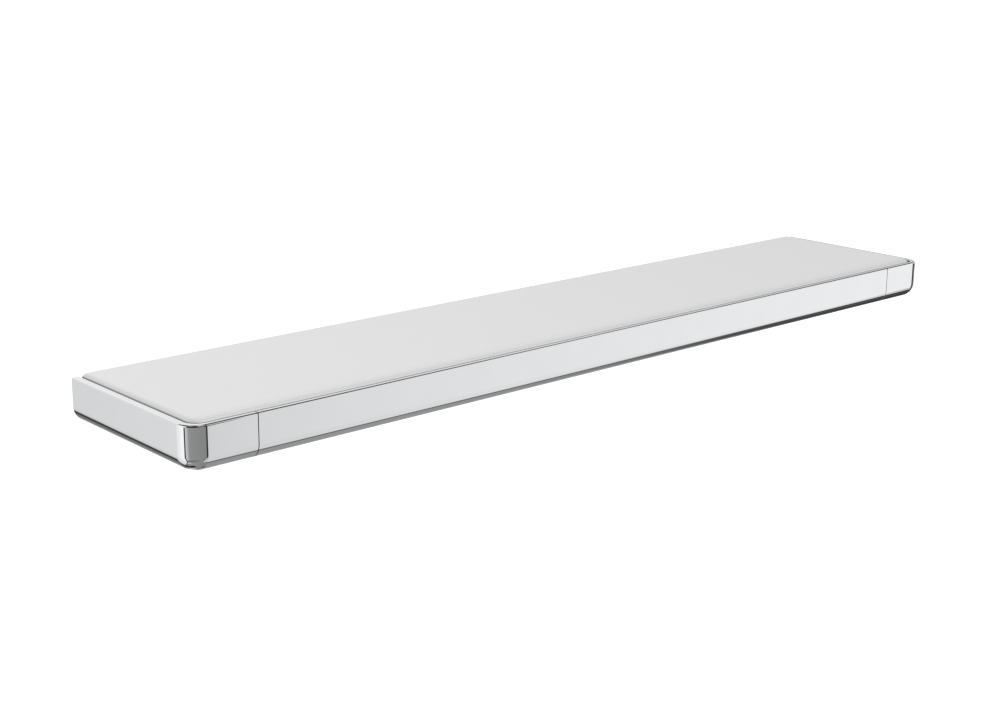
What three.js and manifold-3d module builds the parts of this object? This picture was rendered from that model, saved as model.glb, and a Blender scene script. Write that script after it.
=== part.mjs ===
// Bathroom wall shelf: a chromed tray with a loose satin glass plate, hung on two hidden wall brackets.
//
// Millimetres, +Z up. +X runs along the shelf, the wall is the plane Y = 0 and the shelf stands out
// from it towards -Y. The origin is the middle of the tray's rear face, half way up the tray.

import * as THREE from 'three';
import { mergeVertices } from 'three/addons/utils/BufferGeometryUtils.js';
import Module from 'manifold-3d';

// Tray: an extruded centre profile between two cast end caps
const LENGTH = 600;
const DEPTH = 115;
const HEIGHT = 25;
const END_CAP_LENGTH = 40;
const SEAM_GAP = 0.3;
const PLAN_CORNER_RADIUS = 11;
const RECESS_CORNER_RADIUS = 8;
const BOTTOM_EDGE_RADIUS = 9;
const END_WALL = 4.25;
const FRONT_WALL = 2.75;
const REAR_WALL = 3;
const FLOOR = 3;
const LEDGE_WIDTH = 9;
const LEDGE_THICKNESS = 2;
const THROAT_CORNER_RADIUS = 2;

// Glass plate and the pads that it lies on
const GLASS_THICKNESS = 6;
const GLASS_PROUD = 1.25;
const GLASS_EDGE_GAP = 0.75;
const GLASS_WALL_GAP = 0.5;
const GLASS_EDGE_RADIUS = 4;
const PAD_RADIUS = 3.5;
const PAD_THICKNESS = 1;
const PAD_POSITIONS = [90, 270];

// Splice plates that join each end cap to the centre profile
const SPLICE = { length: 50, width: 14, thickness: 3, cornerRadius: 2, screwSpacing: 24, bracketGap: 2 };
const SPLICE_SCREW = {
  shankRadius: 1.5,
  headRadius: 2.75,
  headHeight: 2,
  depthInFloor: 2,
  socketRadius: 1.25,
};

// Wall brackets: a screwed wall plate with a tapered arm under the tray's two ledges
const BRACKET_OFFSET = 220;
const BRACKET = {
  plateWidth: 50,
  plateThickness: 4,
  plateCornerRadius: 2,
  armWidth: 12,
  armRise: 2,
  armFlat: 50,
  armTipHeight: 6,
  footGap: 0.25,
  frontGap: 3,
  screwSpacing: 34,
};
const NOTCH_CLEARANCE = 1;
const GRUB_SCREW = { radius: 2.5, recess: 0.25, socketRadius: 1.45, socketDepth: 2.5, distanceFromWall: 30 };
const WALL_SCREW = { headRadius: 4.25, headRim: 0.4, shankRadius: 2.25, length: 40, tipLength: 6 };
const RECESS = { length: 4.6, width: 1, depth: 1.6 };

const RUNNING_GAP = 0.3;
const SCREW_CHAMFER = 0.5;
const MERGE_DISTANCE = 1e-5;
const REACH = 30; // how far cutting bodies run past what they cut
const BEVEL_SEGMENTS = 8;
const CURVE_SEGMENTS = 6; // a shape's arc gets twice as many chords as this
const SCREW_SEGMENTS = 16;

// Levels and lines worked out from the sizes above
const TOP = HEIGHT / 2;
const BOTTOM = -HEIGHT / 2;
const FRONT = -DEPTH;
const FLOOR_TOP = BOTTOM + FLOOR;
const GLASS_TOP = TOP + GLASS_PROUD;
const GLASS_BOTTOM = GLASS_TOP - GLASS_THICKNESS;
const LEDGE_TOP = GLASS_BOTTOM - PAD_THICKNESS;
const LEDGE_BOTTOM = LEDGE_TOP - LEDGE_THICKNESS;
const INNER_FRONT = FRONT + FRONT_WALL;
const INNER_HALF_LENGTH = LENGTH / 2 - END_WALL;
const THROAT_FRONT = INNER_FRONT + LEDGE_WIDTH;
const THROAT_BACK = -REAR_WALL - LEDGE_WIDTH;
const SEAM_X = LENGTH / 2 - END_CAP_LENGTH;
const SPLICE_FRONT_Y = THROAT_FRONT + SPLICE.width / 2;
const SPLICE_REAR_Y = -BRACKET.plateThickness - SPLICE.bracketGap - SPLICE.width / 2;
const PAD_FRONT_Y = INNER_FRONT + LEDGE_WIDTH / 2;
const PAD_REAR_Y = -(REAR_WALL + LEDGE_WIDTH) / 2;

const wasm = await Module();
wasm.setup();

const FINISHES = {
  chrome: { color: 0xd6d9dc, roughness: 0.06, metalness: 1 },
  satinGlass: { color: 0xe6e9e8, roughness: 0.35, metalness: 0 },
  silicone: { color: 0xd9dcda, roughness: 0.5, metalness: 0 },
  zinc: { color: 0xb4b8bb, roughness: 0.4, metalness: 1 },
  aluminium: { color: 0xa9adb0, roughness: 0.45, metalness: 1 },
  steel: { color: 0x9da1a5, roughness: 0.3, metalness: 1 },
};

/** A manifold solid from a closed three.js geometry. */
function solid(geometry) {
  geometry.deleteAttribute('normal');
  geometry.deleteAttribute('uv');
  const merged = mergeVertices(geometry, MERGE_DISTANCE);
  const vertProperties = new Float32Array(merged.attributes.position.array);
  const triVerts = new Uint32Array(merged.index.array);
  return new wasm.Manifold(new wasm.Mesh({ numProp: 3, vertProperties, triVerts }));
}

/** A box between two opposite corners. */
function block(low, high) {
  const size = new THREE.Vector3().subVectors(high, low);
  const middle = new THREE.Vector3().addVectors(low, high).multiplyScalar(0.5);
  return solid(new THREE.BoxGeometry(size.x, size.y, size.z).translate(middle.x, middle.y, middle.z));
}

/** A plan outline between front and back, with its two front corners rounded. */
function trayOutline(halfLength, front, back, radius) {
  const outline = new THREE.Shape();
  outline.moveTo(-halfLength, back);
  outline.lineTo(-halfLength, front + radius);
  outline.absarc(-halfLength + radius, front + radius, radius, Math.PI, 1.5 * Math.PI, false);
  outline.lineTo(halfLength - radius, front);
  outline.absarc(halfLength - radius, front + radius, radius, 1.5 * Math.PI, 2 * Math.PI, false);
  outline.lineTo(halfLength, back);
  return outline;
}

/** A rectangle about the origin with all four corners rounded. */
function roundedRectangle(width, height, radius) {
  const x = width / 2 - radius;
  const y = height / 2 - radius;
  const outline = new THREE.Shape();
  outline.absarc(x, y, radius, 0, 0.5 * Math.PI, false);
  outline.absarc(-x, y, radius, 0.5 * Math.PI, Math.PI, false);
  outline.absarc(-x, -y, radius, Math.PI, 1.5 * Math.PI, false);
  outline.absarc(x, -y, radius, 1.5 * Math.PI, 2 * Math.PI, false);
  return outline;
}

/** An outline raised straight up from one level to another. */
function raise(outline, low, high) {
  const options = { depth: high - low, bevelEnabled: false, curveSegments: CURVE_SEGMENTS };
  return new THREE.ExtrudeGeometry(outline, options).translate(0, 0, low);
}

/** An outline raised between two levels, with a quarter round of the given radius at both ends. */
function raiseRounded(outline, low, high, radius) {
  const options = {
    depth: high - low - 2 * radius,
    bevelThickness: radius,
    bevelSize: radius,
    bevelOffset: -radius,
    bevelSegments: BEVEL_SEGMENTS,
    curveSegments: CURVE_SEGMENTS,
  };
  return new THREE.ExtrudeGeometry(outline, options).translate(0, 0, low + radius);
}

/** A regular prism about the Z axis between two levels. */
function prism(radius, low, high, sides) {
  const geometry = new THREE.CylinderGeometry(radius, radius, high - low, sides);
  return solid(geometry.rotateX(Math.PI / 2).translate(0, 0, (low + high) / 2));
}

/** A profile of [radius, height] points turned about the Z axis. */
function turned(points) {
  const profile = points.map(([radius, height]) => new THREE.Vector2(radius, height));
  return solid(new THREE.LatheGeometry(profile, SCREW_SEGMENTS).rotateX(Math.PI / 2));
}

/** The tray's outer body before it is hollowed. */
function trayBlank() {
  const outline = trayOutline(LENGTH / 2, FRONT, REACH, PLAN_CORNER_RADIUS);
  const rounded = solid(raiseRounded(outline, BOTTOM, TOP + REACH, BOTTOM_EDGE_RADIUS));
  const low = new THREE.Vector3(-LENGTH, -2 * DEPTH, BOTTOM - REACH);
  return rounded.intersect(block(low, new THREE.Vector3(LENGTH, 0, TOP)));
}

/** Everything that is hollow in the tray: the glass recess, the throat between the ledges, the well. */
function trayHollow() {
  const inner = trayOutline(INNER_HALF_LENGTH, INNER_FRONT, REACH, RECESS_CORNER_RADIUS);
  const recess = solid(raise(inner, LEDGE_TOP, TOP + REACH));

  const throatLength = 2 * (INNER_HALF_LENGTH - LEDGE_WIDTH);
  const throatPlan = roundedRectangle(throatLength, THROAT_BACK - THROAT_FRONT, THROAT_CORNER_RADIUS);
  const throat = solid(raise(throatPlan, LEDGE_BOTTOM - 1, LEDGE_TOP + 1));
  const throatMiddle = (THROAT_BACK + THROAT_FRONT) / 2;

  const roundness = BOTTOM_EDGE_RADIUS - FLOOR;
  const rounded = solid(raiseRounded(inner, FLOOR_TOP, LEDGE_BOTTOM + REACH, roundness));
  const low = new THREE.Vector3(-LENGTH, -2 * DEPTH, FLOOR_TOP - 1);
  const well = rounded.intersect(block(low, new THREE.Vector3(LENGTH, -REAR_WALL, LEDGE_BOTTOM)));
  return recess.add(throat.translate([0, throatMiddle, 0])).add(well);
}

/** Blind tapped holes in the floor for the screws of the four splice plates. */
function spliceHoles() {
  const low = FLOOR_TOP - SPLICE_SCREW.depthInFloor - RUNNING_GAP;
  const hole = prism(SPLICE_SCREW.shankRadius + RUNNING_GAP, low, FLOOR_TOP + 1, SCREW_SEGMENTS);
  const rows = splicePlaces().map(({ x, y }) => screwOffsets(SPLICE).map((offset) => [x + offset, y, 0]));
  return rows.flat().map((place) => hole.translate(place)).reduce((all, next) => all.add(next));
}

/** Rear wall notch for a bracket's plate, and the hole for its grub screw in the floor. */
function bracketCuts(x) {
  const halfWidth = BRACKET.plateWidth / 2 + NOTCH_CLEARANCE;
  const low = new THREE.Vector3(x - halfWidth, -REAR_WALL - 1, FLOOR_TOP);
  const notch = block(low, new THREE.Vector3(x + halfWidth, 1, LEDGE_BOTTOM));
  const hole = prism(GRUB_SCREW.radius + RUNNING_GAP, BOTTOM - 1, FLOOR_TOP + 1, SCREW_SEGMENTS);
  return notch.add(hole.translate([x, -GRUB_SCREW.distanceFromWall, 0]));
}

/** The tray, hollowed and cut for its screws and brackets, before it is parted at its seams. */
function wholeTray() {
  const cuts = [-BRACKET_OFFSET, BRACKET_OFFSET].map(bracketCuts).reduce((a, b) => a.add(b));
  return trayBlank().subtract(trayHollow()).subtract(spliceHoles()).subtract(cuts);
}

/** The stretch of the tray between two places along its length. */
function trayStretch(tray, from, to) {
  const low = new THREE.Vector3(from, -2 * DEPTH, BOTTOM - REACH);
  return tray.intersect(block(low, new THREE.Vector3(to, REACH, TOP + REACH)));
}

/** Glass plate: rounded top edge at the front and the ends, cut straight along the wall. */
function glassPlate() {
  const halfLength = INNER_HALF_LENGTH - GLASS_EDGE_GAP;
  const radius = RECESS_CORNER_RADIUS - GLASS_EDGE_GAP;
  const outline = trayOutline(halfLength, INNER_FRONT + GLASS_EDGE_GAP, REACH, radius);
  const rounded = solid(raiseRounded(outline, GLASS_BOTTOM - REACH, GLASS_TOP, GLASS_EDGE_RADIUS));
  const low = new THREE.Vector3(-LENGTH, -2 * DEPTH, GLASS_BOTTOM);
  return rounded.intersect(block(low, new THREE.Vector3(LENGTH, -GLASS_WALL_GAP, GLASS_TOP + 1)));
}

/** Two screw places, equally far either side of a piece's middle. */
function screwOffsets(piece) {
  return [-piece.screwSpacing / 2, piece.screwSpacing / 2];
}

/** Name and middle of each splice plate: one at the front and one at the rear of each seam. */
function splicePlaces() {
  return [
    { name: 'left_front', x: -SEAM_X, y: SPLICE_FRONT_Y },
    { name: 'left_rear', x: -SEAM_X, y: SPLICE_REAR_Y },
    { name: 'right_front', x: SEAM_X, y: SPLICE_FRONT_Y },
    { name: 'right_rear', x: SEAM_X, y: SPLICE_REAR_Y },
  ];
}

/** Flat splice plate with two clearance holes, lying on the floor about its own middle. */
function splicePlate() {
  const outline = roundedRectangle(SPLICE.length, SPLICE.width, SPLICE.cornerRadius);
  for (const offset of screwOffsets(SPLICE)) {
    const hole = new THREE.Path();
    hole.absarc(offset, 0, SPLICE_SCREW.shankRadius + RUNNING_GAP, 0, 2 * Math.PI, true);
    outline.holes.push(hole);
  }
  return solid(raise(outline, FLOOR_TOP, FLOOR_TOP + SPLICE.thickness));
}

/** Pan head screw with a hexagon socket, upright, holding a splice plate to the floor. */
function spliceScrew() {
  const { shankRadius, headRadius, headHeight, depthInFloor, socketRadius } = SPLICE_SCREW;
  const seat = FLOOR_TOP + SPLICE.thickness;
  const tip = FLOOR_TOP - depthInFloor;
  const chamfer = SCREW_CHAMFER;
  const body = turned([
    [0, tip],
    [shankRadius - chamfer, tip],
    [shankRadius, tip + chamfer],
    [shankRadius, seat],
    [headRadius, seat],
    [headRadius, seat + headHeight - chamfer],
    [headRadius - chamfer, seat + headHeight],
    [0, seat + headHeight],
  ]);
  return body.subtract(prism(socketRadius, seat + headHeight / 2, seat + headHeight + 1, 6));
}

/** Grub screw that comes up through the floor and presses the arm against the ledges. */
function grubScrew() {
  const { radius, recess, socketRadius, socketDepth } = GRUB_SCREW;
  const low = BOTTOM + recess;
  const high = FLOOR_TOP + BRACKET.armRise;
  const chamfer = SCREW_CHAMFER;
  const body = turned([
    [0, low],
    [radius - chamfer, low],
    [radius, low + chamfer],
    [radius, high - chamfer],
    [radius - chamfer, high],
    [0, high],
  ]);
  return body.subtract(prism(socketRadius, low - 1, low + socketDepth, 6));
}

/** Countersunk screw or the hole for one, along +Y from the front face of the bracket's plate. */
function wallScrewBody(spare) {
  const { headRadius, headRim, shankRadius, length, tipLength } = WALL_SCREW;
  const coneDepth = headRadius - shankRadius;
  const head = headRadius + spare;
  const shank = shankRadius + spare;
  const start = spare > 0 ? -1 : 0;
  const body = turned([
    [0, start],
    [head, start],
    [head, headRim],
    [shank, headRim + coneDepth],
    [shank, length - tipLength],
    [0, length],
  ]);
  return body.rotate([-90, 0, 0]).translate([0, -BRACKET.plateThickness, 0]);
}

/** Countersunk wood screw with a cross recess in its head. */
function wallScrew() {
  const { length, width, depth } = RECESS;
  const bottom = -BRACKET.plateThickness + depth;
  const top = -BRACKET.plateThickness - 1;
  const low = new THREE.Vector3(-length / 2, top, -width / 2);
  const bar = block(low, new THREE.Vector3(length / 2, bottom, width / 2));
  return wallScrewBody(0).subtract(bar).subtract(bar.rotate([0, 90, 0]));
}

/** Height half way up a bracket's plate. */
function plateMiddle() {
  return (FLOOR_TOP + BRACKET.footGap + LEDGE_BOTTOM) / 2;
}

/** Wall bracket about its own middle: wall plate with two countersunk holes, and a tapered arm. */
function wallBracket() {
  const { plateWidth, plateThickness, plateCornerRadius, armWidth, armRise, armFlat, armTipHeight } = BRACKET;
  const plateHeight = LEDGE_BOTTOM - FLOOR_TOP - BRACKET.footGap;
  const plate = solid(raise(roundedRectangle(plateWidth, plateHeight, plateCornerRadius), 0, plateThickness))
    .rotate([90, 0, 0])
    .translate([0, 0, plateMiddle()]);

  const armBottom = FLOOR_TOP + armRise;
  const tip = INNER_FRONT + BRACKET.frontGap;
  const side = new THREE.Shape();
  side.moveTo(-plateThickness / 2, armBottom);
  side.lineTo(-plateThickness / 2, LEDGE_BOTTOM);
  side.lineTo(tip, LEDGE_BOTTOM);
  side.lineTo(tip, LEDGE_BOTTOM - armTipHeight);
  side.lineTo(-armFlat, armBottom);
  const alongX = new THREE.Matrix4().makeBasis(
    new THREE.Vector3(0, 1, 0),
    new THREE.Vector3(0, 0, 1),
    new THREE.Vector3(1, 0, 0),
  );
  const arm = solid(raise(side, -armWidth / 2, armWidth / 2).applyMatrix4(alongX));

  const holes = screwOffsets(BRACKET).map((x) => wallScrewBody(RUNNING_GAP).translate([x, 0, plateMiddle()]));
  return plate.add(arm).subtract(holes[0]).subtract(holes[1]);
}

const shelf = new THREE.Group();

/** Adds a solid to the shelf as one named mesh. */
function addPiece(name, manifold, finish, place = [0, 0, 0]) {
  const { vertProperties, triVerts } = manifold.getMesh();
  const geometry = new THREE.BufferGeometry();
  geometry.setAttribute('position', new THREE.BufferAttribute(new Float32Array(vertProperties), 3));
  geometry.setIndex(new THREE.BufferAttribute(new Uint32Array(triVerts), 1));
  geometry.computeVertexNormals();
  const mesh = new THREE.Mesh(geometry, new THREE.MeshStandardMaterial(FINISHES[finish]));
  mesh.name = name;
  mesh.position.set(...place);
  shelf.add(mesh);
}

const tray = wholeTray();
const seam = SEAM_GAP / 2;
addPiece('centre_profile', trayStretch(tray, -SEAM_X + seam, SEAM_X - seam), 'chrome');
addPiece('left_end_cap', trayStretch(tray, -LENGTH, -SEAM_X - seam), 'chrome');
addPiece('right_end_cap', trayStretch(tray, SEAM_X + seam, LENGTH), 'chrome');
addPiece('glass_shelf', glassPlate(), 'satinGlass');

for (const [row, y] of [['front', PAD_FRONT_Y], ['rear', PAD_REAR_Y]]) {
  for (const [side, sign] of [['left', -1], ['right', 1]]) {
    for (const [place, x] of [['inner', PAD_POSITIONS[0]], ['outer', PAD_POSITIONS[1]]]) {
      const pad = prism(PAD_RADIUS, LEDGE_TOP, GLASS_BOTTOM, SCREW_SEGMENTS);
      addPiece(`glass_pad_${row}_${side}_${place}`, pad, 'silicone', [sign * x, y, 0]);
    }
  }
}

for (const { name, x, y } of splicePlaces()) {
  addPiece(`splice_plate_${name}`, splicePlate(), 'aluminium', [x, y, 0]);
  for (const offset of screwOffsets(SPLICE)) {
    const part = Math.abs(x + offset) > SEAM_X ? 'cap' : 'profile';
    addPiece(`splice_screw_${name}_${part}`, spliceScrew(), 'steel', [x + offset, y, 0]);
  }
}

for (const [side, sign] of [['left', -1], ['right', 1]]) {
  const x = sign * BRACKET_OFFSET;
  addPiece(`${side}_wall_bracket`, wallBracket(), 'zinc', [x, 0, 0]);
  addPiece(`${side}_grub_screw`, grubScrew(), 'steel', [x, -GRUB_SCREW.distanceFromWall, 0]);
  for (const offset of screwOffsets(BRACKET)) {
    const place = sign * offset > 0 ? 'outer' : 'inner';
    addPiece(`${side}_wall_screw_${place}`, wallScrew(), 'steel', [x + offset, 0, plateMiddle()]);
  }
}

export default shelf;
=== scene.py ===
"""Visual model of a bathroom wall shelf: a chromed tray, a loose satin glass plate and hidden brackets.

Metres, +Z up. +X runs along the shelf, the wall is the plane Y = 0 and the shelf stands out towards -Y.
"""
import logging
import math
from dataclasses import dataclass, field
from enum import Enum
from typing import Callable, Iterable, Sequence

import bmesh
import bpy
from bmesh.types import BMEdge, BMesh, BMFace
from bpy.types import Material, NodeSocket
from mathutils import Matrix, Vector


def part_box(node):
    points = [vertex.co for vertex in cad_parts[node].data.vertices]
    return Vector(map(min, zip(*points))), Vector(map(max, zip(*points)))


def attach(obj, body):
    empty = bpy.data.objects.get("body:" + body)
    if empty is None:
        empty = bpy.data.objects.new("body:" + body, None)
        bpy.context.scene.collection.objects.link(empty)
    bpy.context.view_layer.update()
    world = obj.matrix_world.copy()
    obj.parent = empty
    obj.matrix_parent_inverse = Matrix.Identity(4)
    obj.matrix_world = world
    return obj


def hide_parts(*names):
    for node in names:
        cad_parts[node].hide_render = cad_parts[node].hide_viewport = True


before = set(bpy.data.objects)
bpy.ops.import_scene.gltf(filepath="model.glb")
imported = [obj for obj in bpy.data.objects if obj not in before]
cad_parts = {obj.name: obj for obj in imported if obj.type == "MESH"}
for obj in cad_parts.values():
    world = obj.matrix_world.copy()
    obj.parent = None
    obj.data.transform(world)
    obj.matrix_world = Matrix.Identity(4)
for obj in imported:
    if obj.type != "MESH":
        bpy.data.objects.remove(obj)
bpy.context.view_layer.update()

LOG = logging.getLogger("wall_shelf")
MM = 0.001
TINY = 1e-6
CUT_TOLERANCE = 1e-7
REACH = 0.03
SHARP_ANGLE = math.radians(35)
FLAT_ANGLE = math.radians(0.2)
LATHE_STEPS = 48
THREAD_STEPS = 20
THREAD_ROOT = 0.42
THREAD_CREST = 0.06
ACROSS = Vector((1, 0, 0))
TO_WALL = Vector((0, 1, 0))
UPWARD = Vector((0, 0, 1))
INTO_WALL = Matrix.Rotation(math.radians(-90), 3, "X")
SIDES = ("left", "right")
ROWS = ("front", "rear")
PARTS = ("cap", "profile")


class Body(Enum):
    """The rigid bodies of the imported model."""

    SHELF = "shelf_body"
    GLASS = "glass"


class Slot(Enum):
    """The record's material slots."""

    CHROME = "chrome"
    GLASS = "satin_glass"
    PAD = "silicone_pad"
    BRACKET = "zinc_bracket"
    SPLICE = "splice_aluminium"
    SCREW = "screw_steel"


class Cut(Enum):
    """Ways of combining shapes."""

    AWAY = "DIFFERENCE"
    JOIN = "UNION"


# ---------------------------------------------------------------- shape tools


def block(low: Vector, high: Vector) -> BMesh:
    """Makes a box between two opposite corners.

    Args:
        low: lowest corner.
        high: highest corner.

    Returns:
        The box as a new bmesh.
    """
    bm = bmesh.new()
    bmesh.ops.create_cube(bm, size=1.0)
    bmesh.ops.scale(bm, vec=high - low, verts=bm.verts)
    bmesh.ops.translate(bm, vec=(low + high) / 2, verts=bm.verts)
    return bm


def prism(radius: float, low: Vector, length: float, sides: int) -> BMesh:
    """Makes an upright regular prism.

    Args:
        radius: distance from the axis to its edges.
        low: middle of its lower end.
        length: its height.
        sides: number of sides.

    Returns:
        The prism as a new bmesh.
    """
    bm = bmesh.new()
    place = Matrix.Translation(low + UPWARD * length / 2)
    bmesh.ops.create_cone(
        bm, cap_ends=True, segments=sides, radius1=radius, radius2=radius, depth=length, matrix=place,
    )
    return bm


def edges_where(bm: BMesh, test: Callable[[BMEdge], bool]) -> list[BMEdge]:
    """Lists the edges of a bmesh that pass a test.

    Args:
        bm: the bmesh.
        test: says whether an edge is wanted.

    Returns:
        The wanted edges.
    """
    return [edge for edge in bm.edges if test(edge)]


def is_at(edge: BMEdge, axis: int, place: float) -> bool:
    """Says whether both ends of an edge lie at a place along an axis."""
    return all(abs(vert.co[axis] - place) < TINY for vert in edge.verts)


def runs_along(edge: BMEdge, axis: int) -> bool:
    """Says whether an edge is parallel to an axis."""
    step = edge.verts[1].co - edge.verts[0].co
    return abs(abs(step[axis]) - step.length) < TINY


def is_sharp(edge: BMEdge) -> bool:
    """Says whether an edge turns by more than the sharp angle."""
    return len(edge.link_faces) == 2 and edge.calc_face_angle() > SHARP_ANGLE


def faces_away(face: BMFace, middle: Vector) -> bool:
    """Says whether a face is upright and looks away from a middle point."""
    outward = face.calc_center_median() - middle
    return abs(face.normal.z) < 0.5 and face.normal.xy.dot(outward.xy) > 0


def bevel(bm: BMesh, edges: Iterable[BMEdge], width: float, segments: int) -> None:
    """Rounds edges with a circular arc.

    Args:
        bm: the bmesh to change.
        edges: the edges to round.
        width: distance from the edge at which the round starts, its radius on a square edge.
        segments: facets across the round.
    """
    bmesh.ops.bevel(
        bm, geom=list(edges), offset=width, offset_type="OFFSET", segments=segments, profile=0.5,
        affect="EDGES", clamp_overlap=False, material=-1,
    )


def tub(low: Vector, high: Vector, plan: float, bottom: float, segments: int) -> BMesh:
    """Makes a block with rounded front corners and a rounded bottom edge, left square at the back.

    Args:
        low: lowest corner.
        high: highest corner.
        plan: radius of the front corners seen from above.
        bottom: radius of the bottom edge, or 0 to leave it square.
        segments: facets across each round.

    Returns:
        The block as a new bmesh.
    """
    bm = block(low, high)
    bevel(bm, edges_where(bm, lambda e: is_at(e, 1, low.y) and runs_along(e, 2)), plan, segments)
    if bottom:
        lower = edges_where(bm, lambda e: is_at(e, 2, low.z) and not is_at(e, 1, high.y))
        bevel(bm, lower, bottom, segments)
    return bm


def rounded_plate(low: Vector, high: Vector, axis: int, radius: float, edge: float) -> BMesh:
    """Makes a flat plate with four rounded corners and softened edges.

    Args:
        low: lowest corner.
        high: highest corner.
        axis: the axis that its thickness lies along.
        radius: radius of its corners.
        edge: radius of its edges.

    Returns:
        The plate as a new bmesh.
    """
    bm = block(low, high)
    bevel(bm, edges_where(bm, lambda e: runs_along(e, axis)), radius, segments=8)
    bevel(bm, edges_where(bm, is_sharp), edge, segments=3)
    return bm


def combine(base: BMesh, others: Sequence[BMesh], how: Cut) -> BMesh:
    """Cuts other shapes from a shape, or joins them to it, and frees them all.

    Args:
        base: the shape to work on.
        others: the shapes to cut away or join on.
        how: the way of combining them.

    Returns:
        The result as a new bmesh, with flat faces merged.
    """

    def as_object(bm: BMesh) -> bpy.types.Object:
        """Moves a bmesh into a working object.

        Args:
            bm: the bmesh; it is freed.

        Returns:
            The object, in the scene.
        """
        mesh = bpy.data.meshes.new("working")
        bmesh.ops.recalc_face_normals(bm, faces=bm.faces)
        bm.to_mesh(mesh)
        bm.free()
        made = bpy.data.objects.new("working", mesh)
        bpy.context.scene.collection.objects.link(made)
        return made

    target, *tools = [as_object(bm) for bm in (base, *others)]
    for tool in tools:
        step = target.modifiers.new("combine", "BOOLEAN")
        step.operation = how.value
        step.solver = "EXACT"
        step.object = tool
    result = bmesh.new()
    result.from_object(target, bpy.context.evaluated_depsgraph_get())
    for made in (target, *tools):
        mesh = made.data
        bpy.data.objects.remove(made)
        bpy.data.meshes.remove(mesh)
    bmesh.ops.dissolve_limit(result, angle_limit=FLAT_ANGLE, verts=result.verts, edges=result.edges)
    return result


def cut_off(bm: BMesh, place: Vector, normal: Vector) -> None:
    """Cuts a closed shape with a plane, drops the side that the normal points to and closes the cut.

    Args:
        bm: the shape to cut.
        place: a point in the plane.
        normal: the plane's normal.
    """
    geometry = bm.verts[:] + bm.edges[:] + bm.faces[:]
    cut = bmesh.ops.bisect_plane(
        bm, geom=geometry, dist=CUT_TOLERANCE, plane_co=place, plane_no=normal, clear_outer=True,
    )
    bmesh.ops.edgeloop_fill(bm, edges=[item for item in cut["geom_cut"] if isinstance(item, BMEdge)])


def turned(profile: Sequence[tuple[float, float]]) -> BMesh:
    """Turns a profile about the Z axis, as a lathe does.

    Args:
        profile: radius and height of each point, from the axis back to the axis.

    Returns:
        The closed shape as a new bmesh.
    """
    bm = bmesh.new()
    verts = [bm.verts.new((radius, 0, height)) for radius, height in profile]
    edges = [bm.edges.new(pair) for pair in zip(verts, verts[1:])]
    bmesh.ops.spin(
        bm, geom=verts + edges, cent=(0, 0, 0), axis=UPWARD, dvec=(0, 0, 0), angle=2 * math.pi,
        steps=LATHE_STEPS, use_merge=True,
    )
    bmesh.ops.remove_doubles(bm, verts=bm.verts, dist=TINY)
    return bm


def thread(core: float, crest: float, start: float, end: float, pitch: float) -> BMesh:
    """Winds a thread about the Z axis.

    Args:
        core: radius just inside the shank.
        crest: outer radius.
        start: height of its start.
        end: height of its end.
        pitch: rise in one turn.

    Returns:
        The thread as a new bmesh.
    """
    bm = bmesh.new()
    corners = [(core, -THREAD_ROOT), (crest, -THREAD_CREST), (crest, THREAD_CREST), (core, THREAD_ROOT)]
    verts = [bm.verts.new((radius, 0, start + pitch * (0.5 + rise))) for radius, rise in corners]
    edges = [bm.edges.new(pair) for pair in zip(verts, verts[1:] + verts[:1])]
    turns = (end - start) / pitch - 1
    count = int(turns * THREAD_STEPS)
    bmesh.ops.spin(
        bm, geom=verts + edges, cent=(0, 0, 0), axis=UPWARD, dvec=(0, 0, pitch / THREAD_STEPS),
        angle=2 * math.pi * count / THREAD_STEPS, steps=count, use_merge=False,
    )
    bmesh.ops.holes_fill(bm, edges=[edge for edge in bm.edges if edge.is_boundary])
    return bm


def add_to(bm: BMesh, other: BMesh) -> None:
    """Adds the faces of a second shape to a shape.

    Args:
        bm: the shape to add to.
        other: the shape to add; it is freed.
    """
    mesh = bpy.data.meshes.new("joining")
    bmesh.ops.recalc_face_normals(other, faces=other.faces)
    other.to_mesh(mesh)
    other.free()
    bmesh.ops.recalc_face_normals(bm, faces=bm.faces)
    bm.from_mesh(mesh)
    bpy.data.meshes.remove(mesh)


def place_at(bm: BMesh, place: Vector, turn: Matrix | None = None) -> None:
    """Turns a shape about the origin, if asked, and then moves it.

    Args:
        bm: the shape to move.
        place: where the origin goes.
        turn: the rotation, or none.
    """
    if turn is not None:
        bmesh.ops.rotate(bm, cent=(0, 0, 0), matrix=turn, verts=bm.verts)
    bmesh.ops.translate(bm, vec=place, verts=bm.verts)


@dataclass(frozen=True)
class Dressing:
    """What a finished shape wears: its material and the body it moves with. It also holds the record's slot.
    """

    material: Material
    slot: Slot
    body: Body = Body.SHELF

    def dress(self, bm: BMesh, name: str) -> None:
        """Turns a bmesh into the visible piece that stands for the CAD node of the same name.

        Args:
            bm: the finished shape in its place; it is freed.
            name: the CAD node's name.
        """
        for face in bm.faces:
            face.smooth = True
        mesh = bpy.data.meshes.new(f"{name}_mesh")
        bm.to_mesh(mesh)
        bm.free()
        mesh.set_sharp_from_angle(angle=SHARP_ANGLE)
        mesh.materials.append(self.material)
        piece = bpy.data.objects.new(f"{name}_piece", mesh)
        bpy.context.scene.collection.objects.link(piece)
        shading = piece.modifiers.new("even_shading", "WEIGHTED_NORMAL")
        shading.keep_sharp = True
        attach(piece, self.body.value)
        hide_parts(name)
        LOG.info("%s: %d faces", piece.name, len(mesh.polygons))


def middle_of(name: str) -> Vector:
    """Middle of a CAD node's box."""
    low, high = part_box(name)
    return (low + high) / 2


# ---------------------------------------------------------------- node graphs


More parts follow.
